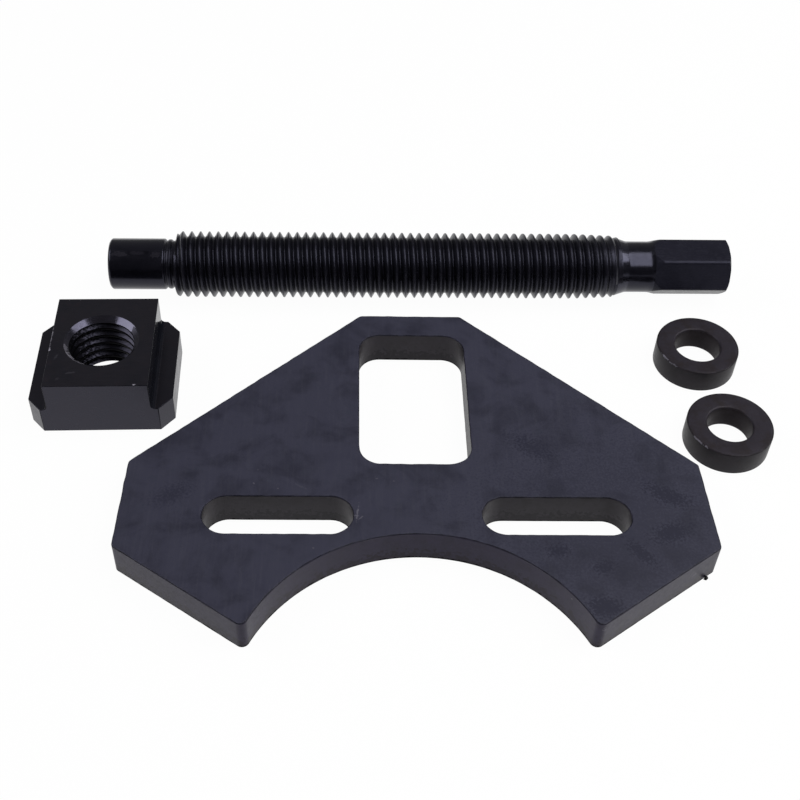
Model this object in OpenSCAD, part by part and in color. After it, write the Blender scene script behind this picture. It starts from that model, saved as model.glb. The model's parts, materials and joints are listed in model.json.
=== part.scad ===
// Hub puller, taken apart: a slotted plate, a forcing screw, a T-shaped nut block
// and two stud spacers, laid out flat beside each other on one level surface.
// Units are millimetres. +Z is up and the surface is at z = 0.
// Sizes on the plate are measured from the centre line of its two stud slots.

/* [Plate] */
// Thickness of the plate
plate_t = 9.5; // [6:0.5:14]
// Width of the plate at its lower corners, its widest place
plate_w = 144.8; // [138:0.2:160]
// Width of the plate at its shoulders
shoulder_w = 143.4; // [136:0.2:150]
// Distance of the shoulders behind the slot line
shoulder_y = 16.7; // [12:0.1:20]
// Width of the flat top end
top_w = 27.9; // [24:0.1:34]
// Distance of the top end behind the slot line
top_y = 71.4; // [68:0.1:85]
// Distance of the lower corners in front of the slot line
corner_y = 9.6; // [8:0.1:13]
// Distance between the two prong tips
prong_span = 80.4; // [76:0.2:90]
// Distance of the prong tips in front of the slot line
prong_y = 32.2; // [28:0.1:36]
// Distance from the slot line down to the middle of the hub notch
notch_y = 5.7; // [5.5:0.1:8]
// Radius that rounds the top corners, shoulders and lower corners
corner_r = 1.4; // [0.6:0.1:2.5]
// Radius that rounds the prong tips
tip_r = 1.8; // [1:0.1:3]

/* [Window] */
// Width of the window that the nut block slides in
window_w = 28.5; // [24:0.1:32]
// Length of the window
window_len = 46.9; // [40:0.1:48]
// Distance of the window's front edge behind the slot line
window_y = 16.5; // [10:0.1:18]
// Radius in the window's corners
window_r = 5.7; // [2:0.1:8]

/* [Stud slots] */
// Distance between the middles of the two slots
slot_spacing = 67.7; // [62:0.1:74]
// Length of each slot, end to end
slot_len = 36.4; // [24:0.2:40]
// Width of each slot
slot_w = 11.5; // [8:0.1:13]

/* [Thread] */
// Outside diameter of the screw thread
thread_d = 19.05; // [17:0.05:21]
// Distance from one turn to the next
thread_pitch = 2.54; // [2:0.01:3]
// Gap that the block's thread leaves round the screw's thread
thread_gap = 0.15; // [0.05:0.05:0.3]

/* [Forcing screw] */
// Length of the whole screw
screw_len = 180; // [160:1:220]
// Diameter of the plain nose
nose_d = 14.7; // [12:0.1:15.5]
// Length of the plain nose up to its groove
nose_len = 16.1; // [12:0.1:24]
// Diameter of the narrow collar between the nose and the thread
collar_d = 14.3; // [12:0.1:15]
// Length from the nose's groove to the first turn of thread
collar_len = 2.8; // [2.6:0.1:6]
// Diameter of the neck between the thread and the hexagon
neck_d = 14.9; // [12:0.1:15.5]
// Length of the neck, with the cones at its ends
neck_len = 8.7; // [5.5:0.1:16]
// Length of the hexagon, with the cone that leads to it
hex_len = 23.6; // [14:0.2:30]
// Size of the hexagon across its flats
hex_af = 15; // [12:0.5:16]
// Turn of the hexagon about the screw's axis
hex_turn = 14.8; // [0:0.1:60]

/* [Nut block] */
// Width of the neck that fits in the window
neck_w = 26.8; // [23:0.1:28]
// Width of the flange that hooks under the window
flange_w = 37.5; // [33:0.1:44]
// Depth of the block from front to back
block_d = 33.6; // [28:0.1:38]
// Height of the flange
flange_h = 8; // [5:0.1:12]
// Height of the whole block
block_h = 16.6; // [14:0.1:22]
// Cut off each flange corner, along the side
flange_cut_x = 3.5; // [1:0.1:5]
// Cut off each flange corner, along the depth
flange_cut_y = 4.1; // [1:0.1:6]
// Radius between the neck and the flange
root_r = 1.2; // [0.5:0.1:2]

/* [Stud spacers] */
// Outside diameter of a spacer
spacer_d = 22.9; // [18:0.1:26]
// Diameter of the hole through a spacer
spacer_bore_d = 13.2; // [10:0.1:15]
// Height of a spacer
spacer_h = 6.9; // [4:0.1:12]
// Edge break on the rims of a spacer
spacer_edge = 0.35; // [0.1:0.05:0.8]

/* [Layout] */
// Place of the screw's nose end, to the right of the plate's middle
screw_x = -86.1; // [-100:0.1:-70]
// Place of the screw's nose end, behind the slot line
screw_y = 92.6; // [88:0.1:110]
// Turn of the screw on the surface
screw_turn = 0.64; // [-2:0.02:4]
// Place of the nut block, to the right of the plate's middle
nut_x = -82.3; // [-100:0.1:-78]
// Place of the nut block, behind the slot line
nut_y = 52.5; // [46:0.1:60]
// Turn of the nut block on the surface
nut_turn = 1.6; // [-4:0.1:6]
// Place of the first stud spacer, to the right of the plate's middle
spacer_1_x = 80.9; // [72:0.1:95]
// Place of the first stud spacer, behind the slot line
spacer_1_y = 63.7; // [60:0.1:68]
// Place of the second stud spacer, to the right of the plate's middle
spacer_2_x = 83.9; // [76:0.1:95]
// Place of the second stud spacer, behind the slot line
spacer_2_y = 33.4; // [24:0.1:36]

/* [Hidden] */
$fn = 96;
eps = 0.01;
black_oxide = "#33333d";
oxide_dark = "#1c1b22";
oxide_brown = "#3a3738";

// Thread form: 60 degree flanks, flat crests and flat roots
flank_slope = tan(30);
crest_flat = thread_pitch / 8;
screw_r = thread_d / 2;
thread_depth = 0.6134 * thread_pitch;
screw_root_r = screw_r - thread_depth;
nut_depth = 0.5413 * thread_pitch;
nut_minor_r = screw_r - nut_depth + thread_gap;
thread_steps = 24;
arc_steps = 6;

// Screw stations along its axis, from the nose end
thread_start = nose_len + collar_len;
hex_start = screw_len - hex_len;
thread_end = hex_start - neck_len;

// Turned details of the nose
nose_chamfer = 0.6;
groove_depth = 0.6;
groove_flat = 0.2;
groove_side = 0.5;
undercut_len = 1;
undercut_depth = 0.4;
bevel_len = 0.7;

// Start bevel and run-out of the thread, and the cone down to the neck
start_rise = 0.95;
start_r = screw_root_r + start_rise;
bevel_slope = 0.6;
start_sink = 0.3;
buried_r = collar_d / 2 - undercut_depth - start_sink;
runout_len = 13;
runout_drop = 0.55;
runout_slope = runout_drop / runout_len;
thread_cone = 2.5;
core_sink = 0.2;
core_r = screw_root_r - core_sink;
core_in_turns = 2;
neck_in_turns = 3;
neck_rise_turns = 1.5;
neck_top_turns = 0.25;
neck_top_drop = 1;
crest_phase = 0.49;

// Hexagon
hex_r = hex_af / 2 / cos(30);
hex_cone = 3.8;
hex_chamfer = 0.8;
hex_face_drop = 1;
hex_face_r = hex_r - hex_face_drop;
hex_clear = 0.1;

// Lead-in at both mouths of the block's threaded hole, and how far the drill runs past
lead_in = 1.1;
lead_in_depth = 0.9;
drill_past = 1;

// Outline of the plate
half_span = prong_span / 2;
notch_rise = prong_y - notch_y;
notch_r = (half_span * half_span + notch_rise * notch_rise) / (2 * notch_rise);
notch_cy = -notch_y - notch_r;
side_dir = unit([half_span - plate_w / 2, corner_y - prong_y]);
side_in = [side_dir[1], -side_dir[0]];
tip_line = [half_span, -prong_y] + tip_r * side_in;
tip_c = tip_line + tip_back(tip_line, side_dir) * side_dir;
tip_on_side = tip_c - tip_r * side_in;
tip_on_notch = tip_c + tip_r * unit([0, notch_cy] - tip_c);

// The set's own middle is the origin
nut_half = [for (c = block_corners()) turned(c, nut_turn)[0]];
left_edge = nut_x + min(nut_half);
right_edge = max(
    screw_x + screw_len * cos(screw_turn) + hex_face_r * sin(screw_turn),
    spacer_1_x + spacer_d / 2,
    spacer_2_x + spacer_d / 2,
    plate_w / 2);
front_edge = tip_c[1] - tip_r;
back_edge = screw_y + (thread_end - runout_len) * sin(screw_turn) + screw_r * cos(screw_turn);
shift = [-(left_edge + right_edge) / 2, -(front_edge + back_edge) / 2, 0];

function unit(v) = v / norm(v);
function turned(v, a) = [v[0] * cos(a) - v[1] * sin(a), v[0] * sin(a) + v[1] * cos(a)];

// How far along the side line the tip's centre lies, so that it touches the notch
function tip_back(p, d) =
    let (q = p - [0, notch_cy])
    let (b = q * d)
    let (c = q * q - pow(notch_r + tip_r, 2))
    -b - sqrt(b * b - c);

// Points along the rounding of corner b, from the side of a to the side of c
function round_off(a, b, c, r) =
    let (to_a = unit(a - b))
    let (to_c = unit(c - b))
    let (half = acos(to_a * to_c) / 2)
    let (centre = b + unit(to_a + to_c) * r / sin(half))
    arc(centre, b + to_a * r / tan(half), b + to_c * r / tan(half));

// Points of the short arc about a centre from one point to another
function arc(centre, from, to) =
    let (start = angle_of(from - centre))
    let (sweep = short_way(angle_of(to - centre) - start))
    let (r = norm(from - centre))
    [for (k = [0:arc_steps]) centre + r * turned([1, 0], start + sweep * k / arc_steps)];

// The same points with the last one moved on along its chord
function drawn_on(points) =
    let (last = points[len(points) - 1])
    let (before = points[len(points) - 2])
    [for (k = [0:len(points) - 2]) points[k], last + (last - before) / 2];
function angle_of(v) = atan2(v[1], v[0]);
function short_way(a) = a > 180 ? a - 360 : a < -180 ? a + 360 : a;

// Corners of the nut block's flange, which also give its reach on the surface
function block_corners() = [
    for (sx = [-1, 1], sy = [-1, 1])
        each [
            [sx * flange_w / 2, sy * (block_d / 2 - flange_cut_y)],
            [sx * (flange_w / 2 - flange_cut_x), sy * block_d / 2]
        ]
];

// Corners of the plate's right half, from the top end to the lower corner
corners = [[top_w / 2, top_y], [shoulder_w / 2, shoulder_y], [plate_w / 2, -corner_y]];

// Right half of the outline. The tip's rounding is drawn on a little into the notch,
// which is cut later, so that the two cross at an angle.
function half_outline() = [
    each round_off([0, top_y], corners[0], corners[1], corner_r),
    each round_off(corners[0], corners[1], corners[2], corner_r),
    each round_off(corners[1], corners[2], tip_on_side, corner_r),
    each drawn_on(arc(tip_c, tip_on_side, tip_on_notch))
];
function mirrored(points) = [for (k = [len(points) - 1:-1:0]) [-points[k][0], points[k][1]]];

module slot(len, width) {
    for (side = [-1, 1]) {
        translate([side * (len - width) / 2, 0])
            circle(d = width);
    }
    square([len - width, width], center = true);
}

module window() {
    translate([0, window_y + window_len / 2]) {
        square([window_w - 2 * window_r, window_len], center = true);
        square([window_w, window_len - 2 * window_r], center = true);
        for (sx = [-1, 1], sy = [-1, 1]) {
            translate([sx * (window_w / 2 - window_r), sy * (window_len / 2 - window_r)])
                circle(r = window_r);
        }
    }
}

// One flat piece, symmetrical about its middle, with a notch that clears the hub
module plate() {
    color(black_oxide)
        translate(shift)
            linear_extrude(plate_t)
                difference() {
                    polygon(concat(half_outline(), mirrored(half_outline())));
                    translate([0, notch_cy])
                        circle(r = notch_r);
                    window();
                    for (side = [-1, 1]) {
                        translate([side * slot_spacing / 2, 0])
                            slot(slot_len, slot_w);
                    }
                }
}

// Crest and root radius of the screw thread at a station along the axis. The first
// turn starts from inside the undercut, rises as a bevel and sinks to full depth.
function crest_at(z) =
    z < thread_start ? buried_r : min(
        screw_r,
        start_r + (z - thread_start) * bevel_slope,
        screw_r - max(0, z - thread_end + runout_len) * runout_slope);
function root_at(z) =
    z < thread_start ? buried_r : max(
        screw_root_r + max(0, z - thread_end + runout_len / 2) * runout_slope,
        start_r - (z - thread_start) * bevel_slope);

// One point of the helical surface: step i along the thread, corner j of its section
function thread_point(i, j) =
    let (a = 360 * i / thread_steps)
    let (flank = thread_depth * flank_slope)
    let (root_flat = thread_pitch - crest_flat - 2 * flank)
    let (across = [0, crest_flat, crest_flat + flank, crest_flat + flank + root_flat][j])
    let (z = thread_start + thread_pitch * (i / thread_steps - 1) + across)
    let (r = j < 2 ? crest_at(z) : root_at(z))
    [r * cos(a), r * sin(a), z];

// The threaded length as one closed helical solid, right-handed
module screw_thread() {
    turns = floor((thread_end - thread_start) / thread_pitch);
    count = turns * thread_steps;
    points = [for (i = [0:count + thread_steps], j = [0:3]) thread_point(i, j)];
    z_low = thread_start - thread_pitch / 2;
    z_high = z_low + turns * thread_pitch;
    low = len(points);
    high = low + 1;
    side = [
        for (i = [0:count - 1], j = [0:3])
            let (a = 4 * i + j)
            let (b = a + 4)
            let (c = j < 3 ? a + 1 : 4 * (i + thread_steps))
            let (d = j < 3 ? b + 1 : 4 * (i + 1 + thread_steps))
            each [[a, c, d], [a, d, b]]
    ];
    low_rim = concat([for (i = [0:thread_steps]) 4 * i], [3, 2, 1, 0]);
    high_rim = concat([for (i = [0:thread_steps]) 4 * (count + i)], [for (j = [3:-1:0]) 4 * count + j]);
    low_cap = [for (k = [0:len(low_rim) - 2]) [low, low_rim[k], low_rim[k + 1]]];
    high_cap = [for (k = [0:len(high_rim) - 2]) [high, high_rim[k + 1], high_rim[k]]];
    polyhedron(
        points = concat(points, [[0, 0, z_low], [0, 0, z_high]]),
        faces = concat(side, low_cap, high_cap));
}

// Turned outline of the nose, its groove, the collar and the undercut
module screw_nose() {
    nose_r = nose_d / 2;
    collar_r = collar_d / 2;
    collar_z = nose_len + groove_flat + groove_side;
    undercut_z = thread_start - undercut_len;
    inside_z = thread_start + core_in_turns * thread_pitch;
    rotate_extrude()
        polygon([
            [0, 0],
            [nose_r - nose_chamfer, 0],
            [nose_r, nose_chamfer],
            [nose_r, nose_len - groove_side],
            [nose_r - groove_depth, nose_len],
            [nose_r - groove_depth, nose_len + groove_flat],
            [collar_r, collar_z],
            [collar_r, undercut_z - undercut_depth],
            [collar_r - undercut_depth, undercut_z],
            [collar_r - undercut_depth, thread_start],
            [core_r, thread_start + bevel_len],
            [core_r, inside_z],
            [0, inside_z]
        ]);
}

// Turned outline of the neck, from inside the last turns to the hexagon
module screw_neck() {
    neck_r = neck_d / 2;
    last_r = screw_r - neck_top_drop;
    inside_z = thread_end - neck_in_turns * thread_pitch;
    hex_z = hex_start + hex_cone / 2;
    rotate_extrude()
        polygon([
            [0, inside_z],
            [core_r, inside_z],
            [core_r, thread_end - neck_rise_turns * thread_pitch],
            [last_r, thread_end - neck_top_turns * thread_pitch],
            [neck_r, thread_end + thread_cone],
            [neck_r, hex_z],
            [0, hex_z]
        ]);
}

// Hexagon trimmed by a cone at each end
module screw_hex() {
    neck_r = neck_d / 2;
    outside_r = hex_r + hex_clear;
    intersection() {
        translate([0, 0, hex_start])
            cylinder(r = hex_r, h = hex_len, $fn = 6);
        rotate_extrude()
            polygon([
                [0, hex_start],
                [neck_r - eps, hex_start],
                [outside_r, hex_start + hex_cone],
                [outside_r, screw_len - hex_chamfer],
                [hex_face_r, screw_len],
                [0, screw_len]
            ]);
    }
}

module forcing_screw() {
    color(oxide_dark)
        translate(shift + [screw_x, screw_y, screw_r])
            rotate([0, 0, screw_turn])
                rotate([0, 90, 0])
                    rotate([0, 0, 90]) {
                        screw_nose();
                        rotate([0, 0, 360 * crest_phase])
                            screw_thread();
                        screw_neck();
                        rotate([0, 0, hex_turn])
                            screw_hex();
                    }
}

// Section of the nut block, seen from the front
module block_section() {
    difference() {
        union() {
            translate([-flange_w / 2, 0])
                square([flange_w, flange_h]);
            translate([-neck_w / 2, 0])
                square([neck_w, block_h]);
            translate([-neck_w / 2 - root_r, flange_h - eps])
                square([neck_w + 2 * root_r, root_r + eps]);
        }
        for (side = [-1, 1]) {
            translate([side * (neck_w / 2 + root_r), flange_h + root_r])
                circle(r = root_r);
        }
    }
}

// The threaded hole as a true bore at the crests of its thread, with its lead-in cones
module nut_bore() {
    mouth_r = nut_minor_r + lead_in;
    translate([0, 0, -drill_past])
        cylinder(r = nut_minor_r, h = block_h + 2 * drill_past);
    translate([0, 0, -eps])
        cylinder(r1 = mouth_r, r2 = nut_minor_r, h = lead_in_depth);
    translate([0, 0, block_h - lead_in_depth + eps])
        cylinder(r1 = nut_minor_r, r2 = mouth_r, h = lead_in_depth);
}

module nut_block() {
    color(oxide_dark)
        translate(shift + [nut_x, nut_y, 0])
            rotate([0, 0, nut_turn])
                difference() {
                    intersection() {
                        translate([0, block_d / 2, 0])
                            rotate([90, 0, 0])
                                linear_extrude(block_d)
                                    block_section();
                        linear_extrude(block_h)
                            polygon(flange_outline());
                    }
                    nut_bore();
                }
}

// Flange corners in order around the block
function flange_outline() =
    let (x = flange_w / 2)
    let (y = block_d / 2)
    [
        [x, -y + flange_cut_y], [x, y - flange_cut_y],
        [x - flange_cut_x, y], [-x + flange_cut_x, y],
        [-x, y - flange_cut_y], [-x, -y + flange_cut_y],
        [-x + flange_cut_x, -y], [x - flange_cut_x, -y]
    ];

// A turned ring with its edges broken
module stud_spacer(x, y) {
    outer = spacer_d / 2;
    inner = spacer_bore_d / 2;
    color(oxide_brown)
        translate(shift + [x, y, 0])
            rotate_extrude()
                polygon([
                    [inner, 0],
                    [outer - spacer_edge, 0],
                    [outer, spacer_edge],
                    [outer, spacer_h - spacer_edge],
                    [outer - spacer_edge, spacer_h],
                    [inner, spacer_h]
                ]);
}

module stud_spacer_1() {
    stud_spacer(spacer_1_x, spacer_1_y);
}

module stud_spacer_2() {
    stud_spacer(spacer_2_x, spacer_2_y);
}

plate();
forcing_screw();
nut_block();
stud_spacer_1();
stud_spacer_2();
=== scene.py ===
# Hub puller taken apart: slotted plate, forcing screw, nut block and two spacer rings, all black oxide steel.
# Each piece is modelled in millimetres about its own origin and then laid at its place in the frame.
import json
import math

import bmesh
import bpy
from mathutils import Matrix, Vector, noise


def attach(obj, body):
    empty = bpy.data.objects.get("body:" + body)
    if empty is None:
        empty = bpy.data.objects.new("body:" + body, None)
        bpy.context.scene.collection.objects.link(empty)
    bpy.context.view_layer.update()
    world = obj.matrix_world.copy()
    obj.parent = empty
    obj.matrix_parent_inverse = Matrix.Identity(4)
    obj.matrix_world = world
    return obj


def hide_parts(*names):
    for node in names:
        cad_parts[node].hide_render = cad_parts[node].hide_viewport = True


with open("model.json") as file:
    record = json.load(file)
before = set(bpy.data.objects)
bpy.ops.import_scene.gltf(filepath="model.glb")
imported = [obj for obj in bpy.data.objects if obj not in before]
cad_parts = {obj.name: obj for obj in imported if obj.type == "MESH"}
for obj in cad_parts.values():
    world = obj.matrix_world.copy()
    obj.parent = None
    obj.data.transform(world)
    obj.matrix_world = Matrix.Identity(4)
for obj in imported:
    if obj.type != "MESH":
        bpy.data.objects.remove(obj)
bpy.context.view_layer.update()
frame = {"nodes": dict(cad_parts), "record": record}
mounts = {mount["name"]: mount for mount in frame["record"]["mounts"]}
mm = 0.001
largeFace = 8 * mm * mm
noise.seed_set(1)  # else Blender's noise starts from the clock, and the rims differ from run to run
print("frame loaded with", len(frame["nodes"]), "nodes")


def groundPlace(mountName):
    x, y, _ = mounts[mountName]["pos_m"]
    return Vector((x, y, 0))


def spinTurn(degrees, axis="Z"):
    return Matrix.Rotation(math.radians(degrees), 4, axis)


def facesOf(geometry):
    return [item for item in geometry if isinstance(item, bmesh.types.BMFace)]


def vertsOf(faces):
    return list({vert for face in faces for vert in face.verts})


def smoothByAngle(bm, degrees):
    # large flat faces and marked edges keep their own normals
    limit = math.radians(degrees)
    for face in bm.faces:
        face.smooth = face.calc_area() < largeFace
    for edge in bm.edges:
        edge.smooth = edge.calc_face_angle(0) < limit and not edge.seam


def makePiece(bm, name, place, turn, looks, node, sharpDegrees=32):
    bmesh.ops.transform(bm, matrix=Matrix.Translation(place) @ turn @ Matrix.Scale(mm, 4), verts=bm.verts)
    bmesh.ops.recalc_face_normals(bm, faces=bm.faces)
    smoothByAngle(bm, sharpDegrees)
    mesh = bpy.data.meshes.new(name)
    bm.to_mesh(mesh)
    bm.free()
    for look in looks:
        mesh.materials.append(look)
    piece = bpy.data.objects.new(name, mesh)
    bpy.context.scene.collection.objects.link(piece)
    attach(piece, "root")
    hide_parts(node)
    print(name, "made with", len(mesh.polygons), "faces")
    return piece


def combine(bm, other, operation):
    # joins or cuts two closed shapes and leaves the result in the first
    made = []
    for number, shape in enumerate((bm, other)):
        bmesh.ops.recalc_face_normals(shape, faces=shape.faces)
        mesh = bpy.data.meshes.new(f"shape{number}")
        shape.to_mesh(mesh)
        made.append(bpy.data.objects.new(f"shape{number}", mesh))
        bpy.context.scene.collection.objects.link(made[-1])
    cut = made[0].modifiers.new("combine", "BOOLEAN")
    cut.operation = operation
    cut.object = made[1]
    cut.solver = "MANIFOLD"
    cut.material_mode = "INDEX"
    evaluated = made[0].evaluated_get(bpy.context.evaluated_depsgraph_get())
    bm.clear()
    bm.from_mesh(evaluated.to_mesh())
    evaluated.to_mesh_clear()
    other.free()
    for shape in made:
        mesh = shape.data
        bpy.data.objects.remove(shape)
        bpy.data.meshes.remove(mesh)
    return bm


# Materials: shared helpers, then one recipe for black oxide with its values per piece

def addNode(tree, kind, inputs=None, **settings):
    node = tree.nodes.new("ShaderNode" + kind)
    for key, value in settings.items():
        setattr(node, key, value)
    for key, value in (inputs or {}).items():
        if isinstance(value, bpy.types.NodeSocket):
            tree.links.new(value, node.inputs[key])
        else:
            node.inputs[key].default_value = value
    return node


def millimetreSpot(tree, centre=(0, 0, 0), turnDegrees=0):
    # Object coordinates in millimetres, measured from a piece's own place
    spot = addNode(tree, "TexCoord").outputs["Object"]
    moved = addNode(tree, "Mapping", {"Vector": spot, "Location": [-c for c in centre]})
    turned = addNode(tree, "Mapping", {
        "Vector": moved.outputs[0],
        "Rotation": (0, 0, math.radians(-turnDegrees)),
        "Scale": (1 / mm, 1 / mm, 1 / mm),
    })
    return turned.outputs[0]


def stretchSpot(tree, spot, scale):
    return addNode(tree, "Mapping", {"Vector": spot, "Scale": scale}).outputs[0]


def noiseOf(tree, spot, size, detail=4, roughness=0.55, distortion=0):
    return addNode(tree, "TexNoise", {
        "Vector": spot, "Scale": 1 / size, "Detail": detail, "Roughness": roughness, "Distortion": distortion,
    }).outputs["Fac"]


def rangeOf(tree, value, low, high, outLow=0, outHigh=1, smooth=True):
    return addNode(tree, "MapRange", {
        "Value": value, "From Min": low, "From Max": high, "To Min": outLow, "To Max": outHigh,
    }, interpolation_type="SMOOTHSTEP" if smooth else "LINEAR").outputs["Result"]


def calc(tree, operation, a, b=0.0):
    return addNode(tree, "Math", {0: a, 1: b}, operation=operation).outputs[0]


def mixColour(tree, amount, first, second):
    node = addNode(tree, "Mix", data_type="RGBA")
    for socket, value in ((node.inputs[0], amount), (node.inputs[6], first), (node.inputs[7], second)):
        if isinstance(value, bpy.types.NodeSocket):
            tree.links.new(value, socket)
        else:
            socket.default_value = value if isinstance(value, float) else (*value, 1)
    return node.outputs[2]


def speckMask(tree, spot, spacing, radius, share):
    # small round flecks in some of the cells of a scattered grid, each fading beyond its core
    core = 0.4
    cells = addNode(tree, "TexVoronoi", {"Vector": spot, "Scale": 1 / spacing, "Randomness": 1.0})
    near = rangeOf(tree, cells.outputs["Distance"], radius / spacing, radius / spacing * core)
    pick = addNode(tree, "SeparateColor", {"Color": cells.outputs["Color"]}).outputs[0]
    return calc(tree, "MULTIPLY", near, calc(tree, "GREATER_THAN", pick, 1 - share))


def markMask(tree, spot, ragged, marks, core):
    # soft ellipses with broken edges at chosen places: middle, length, width, height, turn and strength
    total = 0.0
    for middle, length, width, tall, turn, strength in marks:
        own = addNode(tree, "Mapping", {
            "Vector": spot, "Location": middle, "Rotation": (0, 0, math.radians(turn)),
            "Scale": (length / 2, width / 2, tall / 2),
        }, vector_type="TEXTURE")
        away = addNode(tree, "VectorMath", {0: own.outputs[0]}, operation="LENGTH").outputs["Value"]
        mask = rangeOf(tree, calc(tree, "ADD", away, ragged), 1.0, core, 0, strength)
        total = calc(tree, "MAXIMUM", mask, total)
    return total


# detail, roughness and distortion of each noise, and the band that most of a noise's values lie in
noiseDetail = {"cloud": (5, 0.6, 0.4), "mottle": (3,), "streak": (4, 0.6), "ragged": (3,), "grain": (2,)}
middleBand = (0.3, 0.7)


def blackOxide(name, look, centre=(0, 0, 0), turnDegrees=0):
    material = bpy.data.materials.new(name)
    material.use_nodes = True
    tree = material.node_tree
    shader = tree.nodes["Principled BSDF"]
    shader.inputs["Metallic"].default_value = look["metal"]
    shader.inputs["Specular Tint"].default_value = (*look["film"], 1)
    spot = millimetreSpot(tree, centre, turnDegrees)
    clouds = noiseOf(tree, spot, look["cloudSize"], *noiseDetail["cloud"])
    mottle = noiseOf(tree, spot, look["mottleSize"], *noiseDetail["mottle"])
    streaks = noiseOf(tree, stretchSpot(tree, spot, look["streakScale"]), 1.0, *noiseDetail["streak"])
    colour = mixColour(tree, rangeOf(tree, clouds, *look["cloudRange"]), look["light"], look["dark"])
    tinted = rangeOf(tree, mottle, *look["mottleRange"], 0, look["mottle"])
    colour = mixColour(tree, tinted, colour, look["tint"])
    streaked = rangeOf(tree, streaks, *look["streakRange"], 0, look["streak"])
    colour = mixColour(tree, streaked, colour, look["worn"])
    flecks = speckMask(tree, spot, look["fleckSpacing"], look["fleckRadius"], look["fleckShare"])
    colour = mixColour(tree, calc(tree, "MULTIPLY", flecks, look["fleck"]), colour, look["worn"])
    ragged = noiseOf(tree, spot, look["raggedSize"], *noiseDetail["ragged"])
    ragged = rangeOf(tree, ragged, *middleBand, *look["raggedReach"], False)
    specular = look["specular"]
    # dark patches: stains on some pieces and painted shade on others, darkening the colour and dulling the
    # sheen
    if look["blots"]:
        blot = markMask(tree, spot, ragged, look["blots"], look["blotAndShadeCore"])
        colour = mixColour(tree, blot, colour, look["dark"])
        specular = calc(tree, "MULTIPLY", rangeOf(tree, blot, 0, 1, 1, 1 - look["blotDull"], False), specular)
    # light patches: chips, scratches and smudges, and on some pieces painted highlights
    if look["marks"]:
        mark = markMask(tree, spot, ragged, look["marks"], look["markAndHighlightCore"])
        colour = mixColour(tree, mark, colour, look["bright"])
    # darker and duller towards the foot of a wall: painted shade for the contact shadow at the floor, in
    # places also the cut edge's own darker lower zone
    for low, high, amount, dull, shade in look["feet"]:
        height = addNode(tree, "SeparateXYZ", {0: spot}).outputs["Z"]
        wavy = calc(tree, "ADD", height, rangeOf(tree, mottle, *middleBand, low - high, high - low))
        colour = mixColour(tree, rangeOf(tree, wavy, low, high, amount, 0), colour, shade)
        specular = calc(tree, "MULTIPLY", rangeOf(tree, wavy, low, high, 1 - dull, 1), specular)
    if look["feet"] or look["blots"]:
        tree.links.new(specular, shader.inputs["Specular IOR Level"])
    else:
        shader.inputs["Specular IOR Level"].default_value = specular
    tree.links.new(colour, shader.inputs["Base Color"])
    rough = rangeOf(tree, streaks, *middleBand, *look["rough"], False)
    rough = calc(tree, "ADD", rough, rangeOf(tree, mottle, *middleBand, *look["roughSpread"], False))
    tree.links.new(rough, shader.inputs["Roughness"])
    height = calc(tree, "ADD", calc(tree, "MULTIPLY", streaks, look["streakBump"]), mottle)
    grain = noiseOf(tree, spot, look["grainSize"], *noiseDetail["grain"])
    height = calc(tree, "ADD", height, calc(tree, "MULTIPLY", grain, look["grainBump"]))
    bump = addNode(tree, "Bump", {
        "Height": height, "Strength": look["bump"], "Distance": look["bumpDepth"] * mm,
    })
    tree.links.new(bump.outputs[0], shader.inputs["Normal"])
    return material


def merged(look, **changes):
    return {**look, **changes}


oxideLook = {
    "light": (0.027, 0.027, 0.046), "dark": (0.015, 0.015, 0.028), "tint": (0.020, 0.022, 0.038),
    "worn": (0.10, 0.10, 0.115), "bright": (0.12, 0.115, 0.14), "metal": 0.0, "specular": 0.3,
    "film": (1.0, 1.0, 1.0), "cloudSize": 10.0, "cloudRange": (0.42, 0.70),
    "mottleSize": 2.2, "mottle": 0.5, "mottleRange": (0.55, 0.75),
    "streakScale": (2.2, 0.12, 1.0), "streak": 0.05, "streakRange": (0.45, 0.8), "streakBump": 0.3,
    "fleckSpacing": 7.0, "fleckRadius": 0.28, "fleckShare": 0.25, "fleck": 0.7,
    "rough": (0.40, 0.52), "roughSpread": (-0.04, 0.04),
    "bump": 0.2, "bumpDepth": 0.03, "grainSize": 0.35, "grainBump": 0.5,
    "raggedSize": 0.6, "raggedReach": (-0.5, 0.5), "feet": (),
    "blots": (), "blotAndShadeCore": 0.0, "blotDull": 0.3, "marks": (), "markAndHighlightCore": 0.6,
}


# Plate

plateSizes = {
    "thickness": 9.5, "width": 144.8, "shoulderWidth": 143.4, "shoulder": 16.7, "topWidth": 27.9, "top": 71.4,
    "corner": -9.6, "prongSpan": 80.4, "prong": -32.2, "notch": -5.7, "cornerRadius": 1.4, "tipRadius": 1.8,
    "windowWidth": 28.5, "windowLength": 46.9, "windowFront": 16.5, "windowRadius": 5.7, "slotWidth": 11.5,
    "tipSteps": 10, "notchSteps": 44, "windowSteps": 12, "slotSteps": 24,
    "rim": 0.22, "rimSteps": 3, "support": 0.2, "grain": 0.9,
    "waver": 0.11, "waverUp": 0.3, "footWaver": 0.03, "waverSize": 2.4,
    "burr": (69.9, -11.9, 0.60), "burrReach": (0.75, 0.42, 0.40), "burrTurn": 35,
    "burrWaver": 0.3, "burrWaverSize": 0.5,
}
plateParts = {"top": 0, "wall": 1, "rim": 2, "hole": 3, "burr": 4}


def spinFrom(bm, start, centre, sweep, steps):
    # turns a point about a centre and returns the last point of its arc
    spun = bmesh.ops.spin(bm, geom=[start], cent=centre, axis=(0, 0, 1), angle=sweep, steps=steps)
    return [item for item in spun["geom_last"] if isinstance(item, bmesh.types.BMVert)][0]


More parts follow.
